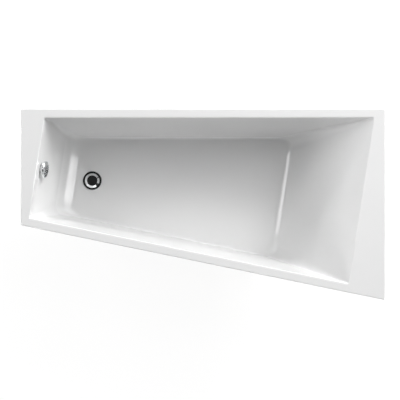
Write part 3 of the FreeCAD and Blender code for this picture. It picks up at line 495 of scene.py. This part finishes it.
def wood_finish(name, stretch):
    """Sawn softwood with its grain along the strip."""
    mat, tree, bsdf = shader(name)
    grain = texture(tree, "ShaderNodeTexNoise", 120.0, stretch, 6.0)
    stops = [(0.32, (0.52, 0.35, 0.18)), (0.48, (0.70, 0.52, 0.31)), (0.70, (0.80, 0.65, 0.44))]
    tree.links.new(ramp(tree, grain.outputs["Fac"], stops), bsdf.inputs["Base Color"])
    tree.links.new(spread(tree, grain.outputs["Fac"], 0.62, 0.8), bsdf.inputs["Roughness"])
    bump(tree, grain.outputs["Fac"], bsdf, 0.35, 0.0005)
    return mat


def galvanised_finish():
    """Zinc-coated sheet with its spangle of crystals."""
    mat, tree, bsdf = shader("galvanised_steel")
    cells = texture(tree, "ShaderNodeTexVoronoi", 130.0)
    grey = tree.nodes.new("ShaderNodeSeparateColor")
    tree.links.new(cells.outputs["Color"], grey.inputs["Color"])
    stops = [(0.0, (0.46, 0.47, 0.49)), (0.5, (0.59, 0.60, 0.62)), (1.0, (0.70, 0.71, 0.73))]
    tree.links.new(ramp(tree, grey.outputs["Red"], stops), bsdf.inputs["Base Color"])
    tree.links.new(spread(tree, grey.outputs["Green"], 0.32, 0.48), bsdf.inputs["Roughness"])
    bsdf.inputs["Metallic"].default_value = 0.9
    return mat


finishes = {
    "acrylic": acrylic_finish(),
    "glassfibre": glassfibre_finish(),
    "board": board_finish(),
    "galvanised_steel": galvanised_finish(),
    "zinc_fasteners": finish_of(
        "zinc", (0.58, 0.59, 0.60), (0.72, 0.72, 0.70), (0.22, 0.36), 60.0, 1.0, (900.0, 0.1, 0.0002)),
    "foot_plastic": finish_of(
        "foot_plastic", (0.030, 0.030, 0.032), (0.050, 0.050, 0.053), (0.42, 0.58), 40.0, 0.0,
        (700.0, 0.25, 0.0003)),
    "chrome": finish_of("chrome", (0.76, 0.77, 0.78), (0.82, 0.83, 0.84), (0.03, 0.07), 18.0, 1.0),
    "brass": finish_of(
        "brass", (0.62, 0.47, 0.22), (0.76, 0.60, 0.32), (0.20, 0.34), 70.0, 1.0, (1200.0, 0.1, 0.0002)),
    "rubber": finish_of(
        "rubber", (0.026, 0.026, 0.027), (0.044, 0.044, 0.045), (0.55, 0.75), 80.0, 0.0,
        (800.0, 0.25, 0.0003)),
    "white_plastic": finish_of(
        "white_plastic", (0.76, 0.76, 0.75), (0.82, 0.82, 0.81), (0.30, 0.42), 25.0, 0.0,
        (600.0, 0.08, 0.0002)),
    "grey_plastic": finish_of(
        "grey_plastic", (0.36, 0.37, 0.39), (0.44, 0.45, 0.47), (0.36, 0.50), 30.0, 0.0,
        (600.0, 0.12, 0.0002)),
    "cable_sheath": finish_of(
        "cable_sheath", (0.050, 0.050, 0.053), (0.080, 0.080, 0.084), (0.40, 0.55), 60.0, 0.0,
        (500.0, 0.15, 0.0002)),
}
wood_along_x = wood_finish("batten_wood_x", (0.05, 1, 1))
wood_along_y = wood_finish("batten_wood_y", (1, 0.05, 1))

SLOTS = {
    "acrylic": ["tub_shell"],
    "glassfibre": ["glassfibre_backing"],
    "board": ["base_board"],
    "galvanised_steel": ["support_rail_drain", "support_rail_backrest"],
    "zinc_fasteners": [
        "rail_screws", "foot_top_nuts", "foot_lock_nuts", *("foot_spindle_" + f for f in FEET),
    ],
    "foot_plastic": ["foot_pad_" + f for f in FEET],
    "chrome": ["waste_flange", "plug_cap", "overflow_knob", "overflow_face"],
    "brass": ["plug_stem", "plug_guide", "lever_pin", "overflow_spindle"],
    "rubber": [
        "waste_top_seal", "waste_bottom_seal", "plug_seal", "overflow_front_seal", "overflow_back_seal",
        "pipe_seal_upper", "pipe_seal_lower", "trap_washer",
    ],
    "white_plastic": [
        "waste_body", "overflow_body", "drum_cover", "overflow_pipe", "trap_body", "lift_lever",
    ],
    "grey_plastic": ["pipe_nut_upper", "pipe_nut_lower", "trap_nut", "cable_ferrules"],
    "cable_sheath": ["control_cable"],
}


def paint(obj, mat):
    """One finish over a whole piece."""
    obj.data.materials.clear()
    obj.data.materials.append(mat)


paint(shell, finishes["acrylic"])
paint(backing, finishes["glassfibre"])
for bar in spindles:
    paint(bar, finishes["zinc_fasteners"])
for slot, members in SLOTS.items():
    for name in members:
        paint(nodes[name], finishes[slot])
for name in ("rim_batten_front", "rim_batten_back"):
    paint(nodes[name], wood_along_x)
for name in ("rim_batten_backrest_end", "rim_batten_drain_end"):
    paint(nodes[name], wood_along_y)


def seen_share(tree, unseen, seen):
    """One number for rays that light the scene, and another where the camera, metal or glass sees it."""
    rays = tree.nodes.new("ShaderNodeLightPath")
    total = rays.outputs["Is Camera Ray"]
    for kind in ("Is Glossy Ray", "Is Transmission Ray"):
        node = tree.nodes.new("ShaderNodeMath")
        node.operation = "MAXIMUM"
        tree.links.new(total, node.inputs[0])
        tree.links.new(rays.outputs[kind], node.inputs[1])
        total = node.outputs["Value"]
    node = tree.nodes.new("ShaderNodeMapRange")
    node.inputs["To Min"].default_value = unseen
    node.inputs["To Max"].default_value = seen
    tree.links.new(total, node.inputs["Value"])
    return node.outputs["Result"]


# Pale floor, as low as the feet reach when they are wound right out
bpy.ops.mesh.primitive_plane_add(size=FLOOR_SIZE, location=(0, 0, -FOOT_TRAVEL))
ground = bpy.context.object
ground.name = "floor"
mat, tree, bsdf = shader("floor")
bsdf.inputs["Base Color"].default_value = (0.15, 0.15, 0.15, 1)
bsdf.inputs["Roughness"].default_value = 0.9
bsdf.inputs["Specular IOR Level"].default_value = 0.0
bsdf.inputs["Emission Color"].default_value = (1, 1, 1, 1)
tree.links.new(seen_share(tree, 0.0, 0.92), bsdf.inputs["Emission Strength"])
paint(ground, mat)

# World: white at the horizon where it is seen, dim overhead, and little light of its own
world = bpy.data.worlds.new("studio")
bpy.context.scene.world = world
world.use_nodes = True
tree = world.node_tree
sky = tree.nodes["Background"]
where = tree.nodes.new("ShaderNodeTexCoord")
axes = tree.nodes.new("ShaderNodeSeparateXYZ")
tree.links.new(where.outputs["Generated"], axes.inputs["Vector"])
white, dim = (1.0, 1.0, 1.0), (0.02, 0.02, 0.02)
fade = ramp(tree, axes.outputs["Z"], [(0.10, white), (0.22, (0.14, 0.14, 0.14)), (0.90, dim)])
tree.links.new(fade, sky.inputs["Color"])
tree.links.new(seen_share(tree, 0.12, 1.0), sky.inputs["Strength"])


def panel(name, start, end, target, width, glow):
    """Rectangular light of one brightness, from one end to the other, turned to a target."""
    start, end, target = Vector(start), Vector(end), Vector(target)
    middle = (start + end) / 2
    along = (end - start).normalized()
    across = along.cross(middle - target).normalized()
    data = bpy.data.lights.new(name, "AREA")
    data.shape = "RECTANGLE"
    data.size, data.size_y = width, (end - start).length
    data.energy = glow * math.pi * data.size * data.size_y
    light = bpy.data.objects.new(name, data)
    bpy.context.scene.collection.objects.link(light)
    turn = Matrix((across, along, across.cross(along))).transposed()
    light.matrix_world = Matrix.Translation(middle) @ turn.to_4x4()
    return light


def soft_box(name, azimuth, low, high, width, glow):
    """Large soft light round the tub's middle, between two elevations in degrees."""
    middle = Vector((0, 0, LAMP_AIM_Z))
    around = math.radians(azimuth)
    ends = []
    for elevation in (math.radians(low), math.radians(high)):
        level = math.cos(elevation)
        heading = Vector((math.cos(around) * level, math.sin(around) * level, math.sin(elevation)))
        ends.append(middle + heading * LAMP_REACH)
    return panel(name, ends[0], ends[1], middle, width, glow)


def mirrored_in_fillet(side, along, tilt):
    """Place mirrored to the camera in a wall's foot, where the fillet's normal tilts by some degrees."""
    tilt = math.radians(tilt)
    lean, radius = LEANS[side], FILLETS[side]
    heading = (OPENING[(side + 1) % 4] - OPENING[side]).normalized()
    inward = Vector((-heading.y, heading.x))
    inset = (DEPTH - radius) * math.tan(lean) + radius / math.cos(lean) - radius * math.sin(tilt)
    foot = OPENING[side] + heading * along + inward * inset
    point = Vector((foot.x, foot.y, RIM_Z - DEPTH + radius * (1 - math.cos(tilt))))
    normal = Vector((inward.x * math.sin(tilt), inward.y * math.sin(tilt), math.cos(tilt)))
    view = (EYE - point).normalized()
    return point + (2 * normal.dot(view) * normal - view) * LAMP_REACH


def strip(name, side, first, last, length, glow):
    """Bent row of lights, which the foot of an end wall shows as a straight line of a given length."""
    width = length * (CAMERA_REACH + LAMP_REACH) / CAMERA_REACH
    places = []
    for k in range(STRIP_PANELS + 1):
        along, tilt = (a + (b - a) * k / STRIP_PANELS for a, b in zip(first, last))
        places.append(mirrored_in_fillet(side, along, tilt))
    for k in range(STRIP_PANELS):
        panel("%s_%d" % (name, k), places[k], places[k + 1], (0, 0, RIM_Z - DEPTH), width, glow)


# Key lights from behind the tub, fill from its left end and its front, and a dim ring that the plug mirrors
soft_box("key_low", 72, 16, 28, 7.5, 15.0)
soft_box("key_high", 38, 26, 39.5, 6.5, 15.5)
soft_box("key_top", 35, 51, 64, 5.0, 5.6)
soft_box("left", 187, 4, 16, 5.0, 17.0)
soft_box("back_left", 145, 28, 45, 5.0, 4.0)
soft_box("front", 270, -1.5, 5, 16.0, 7.0)
for heading, glow in ((0, 0.45), (90, 0.90), (180, 0.40), (270, 0.90)):
    soft_box("ring_%d" % heading, heading, 40, 49, 9.0, glow)

# Lines of light in the feet of the end walls, with a gap that keeps the plug's top dark in the knob
strip("strip_drain_end", 3, (0.2400, 36), (0.2465, 18.4), 0.219, 7.0)
strip("strip_drain_edge", 3, (0.2469, 17.25), (0.2490, 11.5), 0.219, 7.0)
strip("strip_backrest", 1, (0.399, 32), (0.399, 16), 0.390, 6.0)

# Camera: almost straight down from far off
camera_data = bpy.data.cameras.new("camera")
camera = bpy.data.objects.new("camera", camera_data)
bpy.context.scene.collection.objects.link(camera)
camera_data.sensor_width = SENSOR
camera_data.lens = SENSOR * CAMERA_REACH / (PICTURE_PX * SCALE)
camera_data.clip_end = 2 * CAMERA_REACH
camera.location = EYE
camera.rotation_euler = (TILT, 0, 0)
bpy.context.scene.camera = camera
bpy.context.scene.view_settings.view_transform = "Standard"
